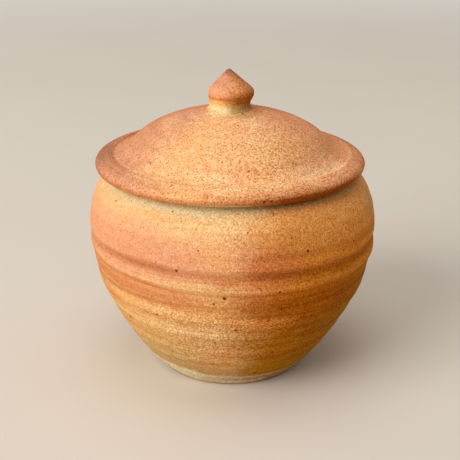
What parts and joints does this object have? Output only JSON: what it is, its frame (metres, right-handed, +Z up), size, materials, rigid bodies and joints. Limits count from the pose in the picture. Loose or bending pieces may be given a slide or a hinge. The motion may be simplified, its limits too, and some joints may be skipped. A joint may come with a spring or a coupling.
{
  "type": "salt jar",
  "caption": "Round-bellied wheel-thrown stoneware salt jar with a narrow foot and a domed lift-off lid, whose collar sits in the mouth and whose pointed knob lifts it.",
  "frame": {"origin": "centre of the jar's foot, on the surface that it stands on", "axes": "+Z up along the jar's axis, -Y towards the side that the picture shows"},
  "size_m": [0.11, 0.11, 0.116],
  "materials": {
    "jar_stoneware": "unglazed sandy stoneware, flame-flashed from ochre to salmon and rust",
    "lid_stoneware": "unglazed sandy stoneware, peach on the dome and salmon round the brim, with fine iron specks",
    "knob_stoneware": "unglazed stoneware, salmon with a mauve-grey point"
  },
  "bodies": {
    "jar": {"jar_body": "jar_stoneware"},
    "lid": {"lid": "lid_stoneware", "lid_knob": "knob_stoneware"}
  },
  "joints": [
    {"name": "lid_lift", "type": "slide", "parent": "jar", "child": "lid", "axis": [0, 0, 1], "range_m": [0, 0.09]}
  ]
}
